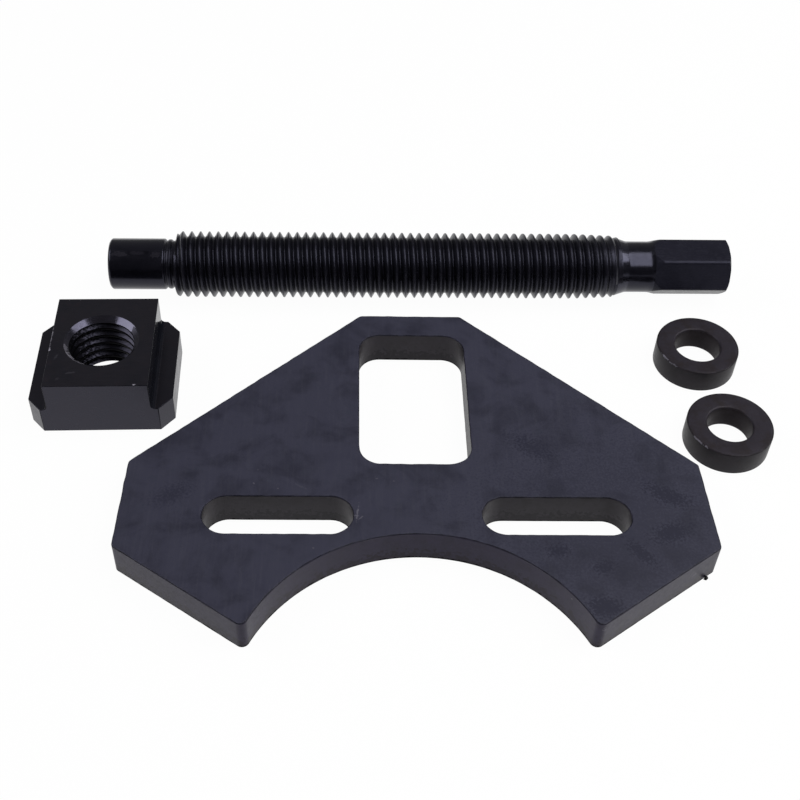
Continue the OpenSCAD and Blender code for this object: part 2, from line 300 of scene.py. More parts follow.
def roundCorner(bm, before, corner, after, radius, steps=8):
    toBefore = (before - corner).normalized()
    toAfter = (after - corner).normalized()
    half = toBefore.angle(toAfter) / 2
    centre = corner + (toBefore + toAfter).normalized() * radius / math.sin(half)
    start = bm.verts.new(corner + toBefore * radius / math.tan(half))
    side = -1 if toBefore.cross(toAfter).z > 0 else 1
    return start, spinFrom(bm, start, centre, side * (math.pi - 2 * half), steps)


def joinArcs(bm, arcs, closed=True):
    following = arcs[1:] + arcs[:1] if closed else arcs[1:]
    for (_, end), (start, _) in zip(arcs, following):
        if end != start:
            bm.edges.new((end, start))


def shortWay(angle):
    return (angle + math.pi) % (2 * math.pi) - math.pi


def plateOutline(bm, sizes):
    flat = lambda x, y: Vector((x, y, 0))
    top = flat(sizes["topWidth"] / 2, sizes["top"])
    shoulder = flat(sizes["shoulderWidth"] / 2, sizes["shoulder"])
    corner = flat(sizes["width"] / 2, sizes["corner"])
    prong = flat(sizes["prongSpan"] / 2, sizes["prong"])
    rise = sizes["notch"] - sizes["prong"]
    notchRadius = (prong.x ** 2 + rise ** 2) / (2 * rise)
    notchCentre = flat(0, sizes["notch"] - notchRadius)
    along = (prong - corner).normalized()
    inward = Vector((along.y, -along.x, 0))
    radius = sizes["tipRadius"]
    onLine = prong + inward * radius - notchCentre
    reach = onLine.dot(along)
    back = -reach - math.sqrt(reach ** 2 - onLine.length_squared + (notchRadius + radius) ** 2)
    tipCentre = notchCentre + onLine + along * back
    toNotch = (notchCentre - tipCentre).normalized()
    tipSweep = shortWay(math.atan2(toNotch.y, toNotch.x) - math.atan2(-inward.y, -inward.x))
    middle = bm.verts.new(flat(0, sizes["top"]))
    tipStart = bm.verts.new(tipCentre - inward * radius)
    tipEnd = spinFrom(bm, tipStart, tipCentre, tipSweep, sizes["tipSteps"])
    fromCentre = tipEnd.co - notchCentre
    notchSweep = math.pi / 2 - math.atan2(fromCentre.y, fromCentre.x)
    notchEnd = spinFrom(bm, tipEnd, notchCentre, notchSweep, sizes["notchSteps"])
    joinArcs(bm, [
        (middle, middle),
        roundCorner(bm, flat(0, sizes["top"]), top, shoulder, sizes["cornerRadius"]),
        roundCorner(bm, top, shoulder, corner, sizes["cornerRadius"]),
        roundCorner(bm, shoulder, corner, prong, sizes["cornerRadius"]),
        (tipStart, notchEnd),
    ], closed=False)
    bmesh.ops.mirror(bm, geom=bm.verts[:] + bm.edges[:], axis="X", merge_dist=0.001)


def plateWindow(bm, sizes):
    x = sizes["windowWidth"] / 2
    low, high = sizes["windowFront"], sizes["windowFront"] + sizes["windowLength"]
    points = [Vector(p) for p in ((-x, low, 0), (-x, high, 0), (x, high, 0), (x, low, 0))]
    radius, steps = sizes["windowRadius"], sizes["windowSteps"]
    joinArcs(bm, [
        roundCorner(bm, points[k - 1], points[k], points[(k + 1) % 4], radius, steps) for k in range(4)
    ])


def plateSlot(bm, middle, length, width, steps):
    arcs = []
    for side in (1, -1):
        centre = Vector((middle + side * (length - width) / 2, 0, 0))
        start = bm.verts.new(centre + Vector((0, side * width / 2, 0)))
        arcs.append((start, spinFrom(bm, start, centre, -math.pi, steps)))
    joinArcs(bm, arcs)


def raiseFaces(bm, faces, height, keep=False):
    raised = facesOf(bmesh.ops.extrude_face_region(bm, geom=faces)["geom"])
    bmesh.ops.translate(bm, vec=(0, 0, height), verts=vertsOf(raised))
    if not keep:
        bmesh.ops.delete(bm, geom=[face for face in faces if face.is_valid], context="FACES")
    return raised


def roundRim(bm, faces, radius, steps):
    # steps the flat face in and up along a quarter circle and returns the strips it leaves
    strips = []
    for k in range(steps):
        a, b = (math.pi / 2 * (k + j) / steps for j in (0, 1))
        ring = bmesh.ops.inset_region(
            bm, faces=faces, use_boundary=True, use_even_offset=True,
            thickness=radius * (math.cos(a) - math.cos(b)), depth=radius * (math.sin(b) - math.sin(a)))
        strips += ring["faces"]
    return strips


def insideHole(point, sizes, slots):
    x, y = abs(point.x), point.y
    spare = 0.2
    inWindow = x < sizes["windowWidth"] / 2 + spare and abs(
        y - sizes["windowFront"] - sizes["windowLength"] / 2) < sizes["windowLength"] / 2 + spare
    inSlot = abs(y) < sizes["slotWidth"] / 2 + spare and abs(
        x - slots["spacing_x_mm"] / 2) < slots["slot_length_mm"] / 2 + spare
    return inWindow or inSlot


def waver(verts, amount, size, upShare):
    # unsettles an edge without leaving the box it lies in
    low, high = ([pick(vert.co[k] for vert in verts) for k in range(3)] for pick in (min, max))
    for vert in verts:
        shift = noise.noise_vector(vert.co / size) * amount
        moved = vert.co + Vector((shift.x, shift.y, shift.z * upShare))
        vert.co = [min(max(moved[k], low[k]), high[k]) for k in range(3)]


def addBurr(bm, sizes):
    # a crumb of scale stuck to the foot of the right front wall
    before = set(bm.faces)
    place = Matrix.Translation(sizes["burr"]) @ spinTurn(sizes["burrTurn"])
    made = bmesh.ops.create_icosphere(
        bm, subdivisions=3, radius=1, matrix=place @ Matrix.Diagonal((*sizes["burrReach"], 1)))
    waver(made["verts"], sizes["burrWaver"], sizes["burrWaverSize"], 1.0)
    for face in set(bm.faces) - before:
        face.material_index = plateParts["burr"]


def markSupports(bm, flats, sizes):
    # the wavering rim shall not bend the shading of the walls and flats beside it
    inset, near = sizes["rim"] + sizes["support"], 0.001
    flats = set(flats)
    for edge in bm.edges:
        heights = [vert.co.z for vert in edge.verts]
        onWall = max(heights) - min(heights) < near and min(
            abs(heights[0] - level) for level in (inset, sizes["thickness"] - inset)) < near
        edge.seam = onWall or sum(face in flats for face in edge.link_faces) == 1


def buildPlate():
    sizes = plateSizes
    slots = mounts["stud_slots"]["dims"]
    bm = bmesh.new()
    plateOutline(bm, sizes)
    plateWindow(bm, sizes)
    for side in (-1, 1):
        middle = side * slots["spacing_x_mm"] / 2
        plateSlot(bm, middle, slots["slot_length_mm"], sizes["slotWidth"], sizes["slotSteps"])
    for edge in bm.edges[:]:
        cuts = int(edge.calc_length() / sizes["grain"])
        if cuts:
            bmesh.ops.subdivide_edges(bm, edges=[edge], cuts=cuts)
    filled = bmesh.ops.triangle_fill(bm, use_beauty=True, edges=bm.edges[:], normal=(0, 0, 1))
    rim, support, near = sizes["rim"], sizes["support"], 0.01
    bmesh.ops.translate(bm, vec=(0, 0, rim), verts=bm.verts)
    top = raiseFaces(bm, facesOf(filled["geom"]), support, keep=True)
    under = [face for face in bm.faces if face.calc_center_median().z < rim + near]
    top = raiseFaces(bm, top, sizes["thickness"] - 2 * rim - 2 * support)
    top = raiseFaces(bm, top, support)
    bmesh.ops.recalc_face_normals(bm, faces=bm.faces)
    for face in bm.faces:
        inHole = insideHole(face.calc_center_median(), sizes, slots)
        face.material_index = plateParts["hole" if inHole else "wall"]
    for faces, amount, upShare in ((top, sizes["waver"], sizes["waverUp"]), (under, sizes["footWaver"], 0)):
        strips = roundRim(bm, faces, rim, sizes["rimSteps"])
        inner = bmesh.ops.inset_region(
            bm, faces=faces, thickness=support, use_boundary=True, use_even_offset=True)
        for face in faces + inner["faces"]:
            face.material_index = plateParts["top"]
        for face in strips:
            face.material_index = plateParts["rim"]
        waver(vertsOf(strips), amount, sizes["waverSize"], upShare)
    markSupports(bm, top + under, sizes)
    addBurr(bm, sizes)
    return bm


plateCentre = groundPlace("stud_slots")
plateTopMarks = (
    ((-14.7, 0.4, 9.5), 5.4, 0.55, 2, 84, 0.55), ((-15.4, -0.2, 9.5), 2.2, 0.5, 2, -8, 0.45),
    ((-13.9, -0.9, 9.5), 1.6, 0.4, 2, 45, 0.45), ((-28.7, 8.9, 9.5), 4.2, 0.6, 2, -30, 0.10),
    ((-40.2, 9.7, 9.5), 0.6, 0.6, 2, 0, 0.35), ((-34.2, 8.1, 9.5), 0.5, 0.5, 2, 0, 0.35),
    ((-39.4, 14.2, 9.5), 0.5, 0.5, 2, 0, 0.2), ((-9.9, 11.5, 9.5), 0.7, 0.4, 2, 0, 0.3),
    ((-5.7, 10.7, 9.5), 0.5, 0.5, 2, 0, 0.2), ((-25.1, -10.0, 9.5), 0.6, 0.5, 2, 0, 0.3),
    ((38.2, -28.3, 9.4), 0.9, 0.5, 2, 0, 0.5), ((40.5, -31.2, 9.4), 1.4, 0.3, 2, 0, 0.5),
)
# dark blotches in the oxide; the last, broad patch is painted shade that darkens and dulls the right half of
# the top against the lamp's sheen
plateTopBlotsAndShade = (
    ((52.6, -11.0, 9.5), 15, 6, 9, -50, 1.5), ((42.0, -26.5, 9.5), 13, 9, 9, 0, 1.5),
    ((43.4, -15.3, 9.5), 10, 7, 9, 20, 1.2), ((61.0, -5.0, 9.5), 19, 9, 9, 20, 1.4),
    ((33.0, -10.5, 9.5), 11, 7, 9, 0, 1.1), ((62.0, 6.5, 9.5), 20, 9, 9, -30, 1.3),
    ((-60.0, 6.0, 9.5), 16, 8, 9, 30, 0.7), ((30.0, 22.0, 9.5), 22, 10, 9, -35, 0.9),
    ((50.0, -4.0, 9.5), 96, 90, 60, 0, 0.55),
)
plateTopLook = merged(oxideLook, marks=plateTopMarks, blots=plateTopBlotsAndShade)
plateWallLook = merged(
    oxideLook, light=(0.018, 0.015, 0.030), dark=(0.013, 0.011, 0.020), tint=(0.017, 0.013, 0.021),
    specular=0.19, film=(0.74, 0.67, 1.0), rough=(0.33, 0.39),
    streakScale=(1.2, 1.2, 0.8), streak=0.05, bump=0.12,
    cloudSize=4.0, cloudRange=(0.35, 0.75), mottleSize=1.2,
    # the first mark is a smudge, the second a painted highlight on the upper corner of the prong tip; the
    # feet darken the lower wall, partly the cut edge's own lower zone and partly painted contact shadow,
    # ending in a near-black painted line at the foot
    marks=(((65.8, -14.7, 5.2), 2.6, 2.6, 1.2, 0, 0.3), ((41.6, -31.8, 7.4), 1.6, 2.0, 1.8, 0, 0.35)),
    feet=((1.4, 3.4, 0.6, 0.2, (0.010, 0.007, 0.005)), (0.3, 0.7, 0.95, 0.9, (0.001, 0.001, 0.001))))
plateHoleLook = merged(
    plateWallLook, light=(0.020, 0.017, 0.021), dark=(0.013, 0.011, 0.012), tint=(0.016, 0.013, 0.013),
    specular=0.24, film=(0.92, 0.88, 1.0), rough=(0.4, 0.46), streak=0.03, marks=(),
    # painted shade: the lower part of the hole walls darkened and dulled for the shadowed floor they face,
    # with a near-black painted line at the foot
    feet=((2.0, 4.0, 0.6, 0.2, (0.005, 0.005, 0.005)), (0.3, 0.6, 0.95, 0.9, (0.001, 0.001, 0.001))))
plateRimLook = merged(
    oxideLook, light=(0.018, 0.017, 0.030), dark=(0.007, 0.007, 0.013), tint=(0.014, 0.013, 0.020),
    specular=0.15, cloudSize=2.5, cloudRange=(0.35, 0.6), mottleSize=0.6,
    fleckSpacing=3.5, fleckRadius=0.15, fleckShare=0.06)
burrLook = merged(
    oxideLook, light=(0.004, 0.004, 0.004), dark=(0.002, 0.002, 0.002), specular=0.1, streak=0, fleck=0)
makePiece(
    buildPlate(), "slottedPlate", plateCentre, Matrix.Identity(4), [
        blackOxide("plateTopOxide", plateTopLook, plateCentre),
        blackOxide("plateWallOxide", plateWallLook, plateCentre),
        blackOxide("plateRimOxide", plateRimLook, plateCentre),
        blackOxide("plateHoleOxide", plateHoleLook, plateCentre),
        blackOxide("plateBurr", burrLook, plateCentre),
    ], "plate")


# Thread, shared by the screw and by the cutter of the nut block's hole

def softened(points, reaches, closedBy=None):
    # each corner of a polyline becomes three points on a small curve, which takes less than half a side
    done = []
    share = 0.45
    for k, point in enumerate(points):
        before = points[k - 1] if k else (points[-1] - closedBy if closedBy else None)
        after = points[k + 1] if k + 1 < len(points) else (points[0] + closedBy if closedBy else None)
        if before is None or after is None or not reaches[k]:
            done.append(point)
            continue
        reach = min(reaches[k], (before - point).length * share, (after - point).length * share)
        a = point + (before - point).normalized() * reach
        b = point + (after - point).normalized() * reach
        done += [a, (a + b + 2 * point) / 4, b]
    return done


def threadShape(pitch, crestFlat, flank, low, high, start, phaseDegrees, turns, steps, crestSoft, rootSoft):
    # one turn of the thread's section, repeated up the axis, welded, and drawn to the axis at its ends
    rootFlat = pitch - crestFlat - 2 * flank
    stations = [0, crestFlat, crestFlat + flank, crestFlat + flank + rootFlat]
    corners = [Vector((radius, 0, z)) for radius, z in zip((high, high, low, low), stations)]
    section = softened(corners, (crestSoft, crestSoft, rootSoft, rootSoft), closedBy=Vector((0, 0, pitch)))
    section.append(section[0] + Vector((0, 0, pitch)))
    bm = bmesh.new()
    chain = [bm.verts.new(point + Vector((0, 0, start))) for point in section]
    edges = [bm.edges.new(pair) for pair in zip(chain, chain[1:])]
    bmesh.ops.spin(
        bm, geom=chain + edges, cent=(0, 0, 0), axis=(0, 0, 1), dvec=(0, 0, pitch / steps),
        angle=2 * math.pi, steps=steps)
    oneTurn = bm.verts[:] + bm.edges[:] + bm.faces[:]
    for turn in range(1, turns):
        copied = bmesh.ops.duplicate(bm, geom=oneTurn)["geom"]
        moved = [item for item in copied if isinstance(item, bmesh.types.BMVert)]
        bmesh.ops.translate(bm, vec=(0, 0, turn * pitch), verts=moved)
    bmesh.ops.remove_doubles(bm, verts=bm.verts, dist=0.002)
    bmesh.ops.rotate(bm, cent=(0, 0, 0), matrix=spinTurn(phaseDegrees), verts=bm.verts)
    middle = start + pitch * (turns + 1) / 2
    for side, z in ((-1, start + pitch / 2), (1, start + pitch * (turns + 0.5))):
        rim = [edge for edge in bm.edges if edge.is_boundary and (edge.verts[0].co.z - middle) * side > 0]
        ends = bmesh.ops.extrude_edge_only(bm, edges=rim)["geom"]
        ends = [item for item in ends if isinstance(item, bmesh.types.BMVert)]
        bmesh.ops.pointmerge(bm, verts=ends, merge_co=(0, 0, z))
    return bm


def turnedShape(points, steps=96):
    # a section from the axis out and back to it, turned all the way round
    bm = bmesh.new()
    chain = [bm.verts.new((radius, 0, z)) for radius, z in points]
    edges = [bm.edges.new(pair) for pair in zip(chain, chain[1:])]
    bmesh.ops.spin(
        bm, geom=chain + edges, cent=(0, 0, 0), axis=(0, 0, 1), angle=2 * math.pi, steps=steps,
        use_merge=True)
    bmesh.ops.remove_doubles(bm, verts=bm.verts, dist=0.001)
    bmesh.ops.recalc_face_normals(bm, faces=bm.faces)
    return bm


threadSizes = {
    "diameter": 19.05, "pitch": 2.54, "gap": 0.15, "externalDepth": 0.6134, "internalDepth": 0.5413,
    "crestShare": 0.125, "flankSlope": math.tan(math.radians(30)),
    "steps": 48, "crestSoft": 0.14, "rootSoft": 0.2,
}


# Forcing screw

screwSizes = {
    "length": 180.0, "noseDiameter": 14.7, "noseLength": 16.1, "noseChamfer": 0.6, "grooveDepth": 0.6,
    "grooveFlat": 0.2, "grooveSide": 0.5, "collarDiameter": 14.3, "collarLength": 2.8,
    "undercutLength": 1.0, "undercutDepth": 0.4, "bevelLength": 0.7, "startRise": 0.95, "bevelSlope": 0.6,
    "startSink": 0.3, "bevelSoft": 0.2, "crestBlend": 0.1, "noseTurns": 2, "noseSteps": 128,
    "runoutLength": 13.0, "runoutDrop": 0.55, "threadCone": 2.5, "coreSink": 0.2, "coreRise": (1.0, 0.3),
    "neckDiameter": 14.9, "neckLength": 8.7, "neckTopDrop": 1.0, "neckTurns": 3,
    "coneDrop": 0.1, "coneSlope": 0.4, "coneRelease": 0.6, "supports": (1, 0.3),
    "hexLength": 23.6, "hexAcross": 15.0, "hexTurn": 11.4, "hexCone": 4.6, "hexFillet": 2.4, "hexOver": 0.3,
    "hexChamfer": 0.8, "hexFaceDrop": 1.0, "hexFaceSoft": 0.15, "hexFaceCore": 0.6,
    "hexSteps": 192, "hexSoft": 0.1, "hexCornerCut": 0.12, "hexCornerSoft": 0.25,
    "hexShine": 1.6, "hexDull": 4, "hexFlat": 0.1, "lookSpread": 0.4,
    "crestPhase": 0.49, "turnDegrees": 0.64, "edge": 0.12, "stepSoft": 0.2, "noseSoft": 0.25,
    "threadConeSoft": (0.2, 0.5), "layShift": 0.1,
}
screwParts = {"plain": 0, "thread": 1, "hexagon": 2, "cone": 3}


def softMin(a, b, softness):
    gap = max(softness - abs(a - b), 0) / softness
    return min(a, b) - gap * gap * softness / 4


def screwStations():
    sizes, thread = screwSizes, threadSizes
    start = sizes["noseLength"] + sizes["collarLength"]
    hexStart = sizes["length"] - sizes["hexLength"]
    radius = thread["diameter"] / 2
    depth = thread["externalDepth"] * thread["pitch"]
    return start, hexStart - sizes["neckLength"], hexStart, radius, depth


def screwThread():
    sizes, thread = screwSizes, threadSizes
    start, end, _, radius, depth = screwStations()
    pitch = thread["pitch"]
    root = radius - depth
    turns = math.ceil((end - start) / pitch)
    buried = sizes["collarDiameter"] / 2 - sizes["undercutDepth"] - sizes["startSink"]
    slope = sizes["runoutDrop"] / sizes["runoutLength"]
    bm = threadShape(
        pitch, thread["crestShare"] * pitch, depth * thread["flankSlope"], root, radius, start - pitch,
        360 * sizes["crestPhase"], turns, thread["steps"], thread["crestSoft"], thread["rootSoft"])
    blend, onAxis = sizes["crestBlend"], root - 0.1
    for vert in bm.verts:
        z = vert.co.z
        out = math.hypot(vert.co.x, vert.co.y)
        if out < onAxis:
            continue
        share = (out - root) / depth
        bevel = root + sizes["startRise"] + (z - start) * sizes["bevelSlope"]
        sink = max(0, z - end + sizes["runoutLength"]) * slope
        crest = softMin(softMin(radius, bevel, sizes["bevelSoft"]), radius - sink, blend)
        overCone = radius - sizes["neckTopDrop"] - sizes["coneDrop"] - (z - end) * sizes["coneSlope"]
        crest = softMin(crest, max(overCone, root) + max(0, end - z) * sizes["coneRelease"], blend)
        low = max(
            root + max(0, z - end + sizes["runoutLength"] / 2) * slope,
            root + sizes["startRise"] - (z - start) * sizes["bevelSlope"])
        new = buried if z < start else low + (crest - low) * share
        vert.co.x *= new / out
        vert.co.y *= new / out
    return bm


def screwNose():
    sizes = screwSizes
    start, _, _, radius, depth = screwStations()
    nose, collar = sizes["noseDiameter"] / 2, sizes["collarDiameter"] / 2
    core = radius - depth - sizes["coreSink"]
    length, side, flat = sizes["noseLength"], sizes["grooveSide"], sizes["grooveFlat"]
    under = start - sizes["undercutLength"]
    inside = start + sizes["noseTurns"] * threadSizes["pitch"]
    points = [
        (0, 0), (nose - sizes["noseChamfer"], 0), (nose, sizes["noseChamfer"]), (nose, length - side),
        (nose - sizes["grooveDepth"], length), (nose - sizes["grooveDepth"], length + flat),
        (collar, length + flat + side), (collar, under - sizes["undercutDepth"]),
        (collar - sizes["undercutDepth"], under), (collar - sizes["undercutDepth"], start),
        (core, start + sizes["bevelLength"]), (core, inside), (0, inside),
    ]
    edge, step, tip = sizes["edge"], sizes["stepSoft"], sizes["noseSoft"]
    reaches = [0, tip, tip, step, edge, edge, step, step, edge, edge, 0, 0, 0]
    outline = softened([Vector(point) for point in points], reaches)
    return turnedShape(outline, sizes["noseSteps"])


def screwNeckAndHex():
    sizes = screwSizes
    _, end, hexStart, radius, depth = screwStations()
    pitch, length = threadSizes["pitch"], sizes["length"]
    neck = sizes["neckDiameter"] / 2
    core = radius - depth - sizes["coreSink"]
    corner = sizes["hexAcross"] / 2 / math.cos(math.radians(30))
    outside, faceRadius = corner + sizes["hexOver"], corner - sizes["hexFaceDrop"]
    coneTop, chamferStart = hexStart + sizes["hexCone"], length - sizes["hexChamfer"]
    inside, coneEnd = end - sizes["neckTurns"] * pitch, end + sizes["threadCone"]
    riseStart, riseEnd = (end - turns * pitch for turns in sizes["coreRise"])
    afterCone, beforeHex = sizes["supports"]
    turned = [
        (0, inside), (core, inside), (core, riseStart), (radius - sizes["neckTopDrop"], riseEnd),
        (neck, coneEnd), (neck, coneEnd + afterCone), (neck, hexStart - beforeHex), (neck, hexStart),
    ]
    reaches = [0, 0, 0, *sizes["threadConeSoft"], 0, 0, 0]
    points = [tuple(point) for point in softened([Vector(point) for point in turned], reaches)]
    coneSteps, flatSteps, chamferSteps = 18, 8, 6
    points += [(0, hexStart + sizes["hexCone"] * (k + 1) / coneSteps) for k in range(coneSteps)]
    points += [(0, coneTop + (chamferStart - coneTop) * (k + 1) / flatSteps) for k in range(flatSteps)]
    points += [(0, chamferStart + sizes["hexChamfer"] * (k + 1) / chamferSteps) for k in range(chamferSteps)]
    fillet = sizes["hexFillet"]
    coneSlope = (outside - neck) / (sizes["hexCone"] - fillet / 2)
    chamferSlope = (outside - faceRadius) / sizes["hexChamfer"]

    def turnedRadius(z):
        along = z - hexStart
        cone = neck + coneSlope * (along ** 2 / 2 / fillet if along < fillet else along - fillet / 2)
        chamfer = faceRadius + (length - z) * chamferSlope
        return softMin(min(cone, outside), chamfer, sizes["stepSoft"])

    points = [(turnedRadius(z), z) if z > hexStart else (r, z) for r, z in points]
    points += [(faceRadius - sizes["hexFaceSoft"], length), (faceRadius * sizes["hexFaceCore"], length)]
    points += [(0, length)]
    bm = turnedShape(points, sizes["hexSteps"])
    onAxis = 1e-6
    for vert in bm.verts:
        x, y, z = vert.co
        out = math.hypot(x, y)
        if z < hexStart or out < onAxis:
            continue
        angle = (math.degrees(math.atan2(y, x)) - sizes["hexTurn"] + 30) % 60 - 30
        flatOut = sizes["hexAcross"] / 2 / math.cos(math.radians(30 - abs(angle)))
        flatOut = softMin(flatOut, corner - sizes["hexCornerCut"], sizes["hexCornerSoft"])
        new = softMin(out, flatOut, sizes["hexSoft"])
        vert.co.x *= new / out
        vert.co.y *= new / out
    return bm


def screwLay():
    axis = Vector(mounts["screw_nose"]["axis"])
    nosePlace = Vector(mounts["screw_nose"]["pos_m"])
    middleOfNose = (screwSizes["noseLength"] + screwSizes["layShift"]) / 2 * mm
    place = nosePlace + axis * middleOfNose
    turn = spinTurn(screwSizes["turnDegrees"]) @ spinTurn(90, "Y") @ spinTurn(90)
    return place, turn


screwPlace, screwTurn = screwLay()
screwLook = merged(
    oxideLook, light=(0.0038, 0.0036, 0.0056), dark=(0.0022, 0.0022, 0.0036), tint=(0.0032, 0.0032, 0.0050),
    worn=(0.03, 0.03, 0.036), specular=0.36, film=(0.72, 0.72, 1.0), rough=(0.17, 0.23),
    streakScale=(0.25, 2.2, 2.2), streak=0.05, bump=0.03, cloudSize=6.0, mottleSize=1.2,
    fleckSpacing=4.0, fleckRadius=0.15, fleckShare=0.08, bright=(0.06, 0.055, 0.07),
    # the marks are smudges that also paint the lighter band along the top of the nose, a painted sheen; the
    # blots are dark stains
    marks=(((3.6, -3.4, 6.5), 5.0, 1.8, 1.8, 0, 0.16), ((8.2, -3.2, 6.6), 6.0, 1.2, 1.4, 0, 0.08),
           ((13.6, -3.6, 6.3), 3.6, 2.0, 2.0, 0, 0.14)),
    blots=(((10.8, -3.0, 6.7), 2.4, 1.8, 1.8, 0, 1.0), ((6.0, -3.2, 6.6), 1.6, 1.6, 1.6, 0, 0.8)),
    blotDull=0.8)
screwThreadLook = merged(screwLook, specular=0.33, rough=(0.27, 0.34), marks=(), blots=())
screwConeLook = merged(screwLook, specular=0.55, marks=(), blots=())
screwHexLook = merged(
    screwLook, light=(0.0118, 0.0116, 0.0178), dark=(0.009, 0.009, 0.014), tint=(0.0105, 0.010, 0.015),
    specular=0.12, rough=(0.22, 0.30), marks=(), blots=())
screwShape = combine(screwThread(), screwNose(), "UNION")
screwShape = combine(screwShape, screwNeckAndHex(), "UNION")
_, threadEnd, hexStart, _, _ = screwStations()
for face in screwShape.faces:
    along = face.calc_center_median().z
    dull = abs(face.normal.z) < screwSizes["hexFlat"] or along < hexStart + screwSizes["hexDull"]
    if screwSizes["noseLength"] - screwSizes["lookSpread"] < along < threadEnd + screwSizes["lookSpread"]:
        face.material_index = screwParts["thread"]
    elif threadEnd < along < threadEnd + screwSizes["threadCone"]:
        face.material_index = screwParts["cone"]
    elif screwSizes["hexShine"] < along - hexStart and dull:
        face.material_index = screwParts["hexagon"]
makePiece(
    screwShape, "forcingScrew", screwPlace, screwTurn, [
        blackOxide("screwOxide", screwLook, screwPlace, screwSizes["turnDegrees"]),
        blackOxide("screwThreadOxide", screwThreadLook, screwPlace, screwSizes["turnDegrees"]),
        blackOxide("screwHexOxide", screwHexLook, screwPlace, screwSizes["turnDegrees"]),
        blackOxide("screwConeOxide", screwConeLook, screwPlace, screwSizes["turnDegrees"]),
    ], "forcing_screw", 38)


# Nut block

nutSizes = {
    "neckWidth": 26.8, "flangeWidth": 37.5, "depth": 33.6, "flangeHeight": 8.0, "height": 16.6,
    "cutX": 3.5, "cutY": 4.1, "rootRadius": 1.2, "rootSteps": 6, "edge": 0.15, "edgeSteps": 3,
    "leadIn": 1.5, "leadInDepth": 0.97, "leadInShift": (-0.2, 0.3, 0), "leadInOver": 1.0, "leadInInner": 1.2,
    "threadBelow": 1.5, "threadPhase": 40, "threadSoft": 0.1, "crestSkin": 0.06, "turnDegrees": 1.6,
}
nutParts = {"face": 0, "edge": 1, "thread": 2, "side": 3, "leadIn": 4, "crest": 5}


def nutBody():
    sizes = nutSizes
    bm = bmesh.new()
    neck, flange = sizes["neckWidth"] / 2, sizes["flangeWidth"] / 2
    low, high, front = sizes["flangeHeight"], sizes["height"], -sizes["depth"] / 2
    root, steps = sizes["rootRadius"], sizes["rootSteps"]
    half = [(flange, 0), (flange, low)]
    for k in range(steps + 1):
        a = math.radians(90 * k / steps)
        half.append((neck + root - root * math.sin(a), low + root - root * math.cos(a)))
    half.append((neck, high))
    outline = half + [(-x, z) for x, z in reversed(half)]
    section = bm.faces.new([bm.verts.new((x, front, z)) for x, z in outline])
    raised = facesOf(bmesh.ops.extrude_face_region(bm, geom=[section])["geom"])
    bmesh.ops.translate(bm, vec=(0, sizes["depth"], 0), verts=vertsOf(raised))
    for sideX in (-1, 1):
        for sideY in (-1, 1):
            point = Vector((sideX * flange, sideY * (sizes["depth"] / 2 - sizes["cutY"]), 0))
            outward = Vector((sideX * sizes["cutY"], sideY * sizes["cutX"], 0)).normalized()
            cut = bmesh.ops.bisect_plane(
                bm, geom=bm.verts[:] + bm.edges[:] + bm.faces[:], plane_co=point, plane_no=outward,
                clear_outer=True, dist=0.0001)
            edges = [item for item in cut["geom_cut"] if isinstance(item, bmesh.types.BMEdge)]
            bmesh.ops.holes_fill(bm, edges=edges, sides=0)
    bmesh.ops.recalc_face_normals(bm, faces=bm.faces)
    near = 0.01
    for face in bm.faces:
        middle = face.calc_center_median()
        facesSide = abs(face.normal.x) > 0.3
        if facesSide and abs(middle.x) < flange - near and middle.z > low + near:
            face.material_index = nutParts["side"]
    sharp = [edge for edge in bm.edges if edge.calc_face_angle(0) > math.radians(30)]
    edged = bmesh.ops.bevel(
        bm, geom=sharp, offset=sizes["edge"], segments=sizes["edgeSteps"], affect="EDGES",
        profile=0.5, material=-1)
    for face in edged["faces"]:
        face.material_index = nutParts["edge"]
    return bm


def nutCutter():
    sizes, thread = nutSizes, threadSizes
    pitch = thread["pitch"]
    minor = thread["diameter"] / 2 - thread["internalDepth"] * pitch + thread["gap"]
    major = thread["diameter"] / 2 + thread["gap"]
    turns = math.ceil(sizes["height"] / pitch) + 2
    start, soft = -sizes["threadBelow"] * pitch, sizes["threadSoft"]
    bm = threadShape(
        pitch, thread["crestShare"] * pitch, (major - minor) * thread["flankSlope"], minor, major,
        start, sizes["threadPhase"], turns, thread["steps"], soft, soft)
    for face in bm.faces:
        middle = face.calc_center_median()
        onCrest = math.hypot(middle.x, middle.y) < minor + sizes["crestSkin"]
        face.material_index = nutParts["crest" if onCrest else "thread"]
    slope = sizes["leadIn"] / sizes["leadInDepth"]
    over, inner = sizes["leadInOver"], sizes["leadInInner"]
    mouth = minor + sizes["leadIn"]
    for base, way in ((0, 1), (sizes["height"], -1)):
        cone = turnedShape([
            (0, base - way * over), (mouth + over * slope, base - way * over),
            (mouth - inner * slope, base + way * inner), (0, base + way * inner)])
        bmesh.ops.translate(cone, vec=sizes["leadInShift"], verts=cone.verts)
        for face in cone.faces:
            face.material_index = nutParts["leadIn"]
        bm = combine(bm, cone, "UNION")
    return bm


nutPlace = groundPlace("nut_thread")
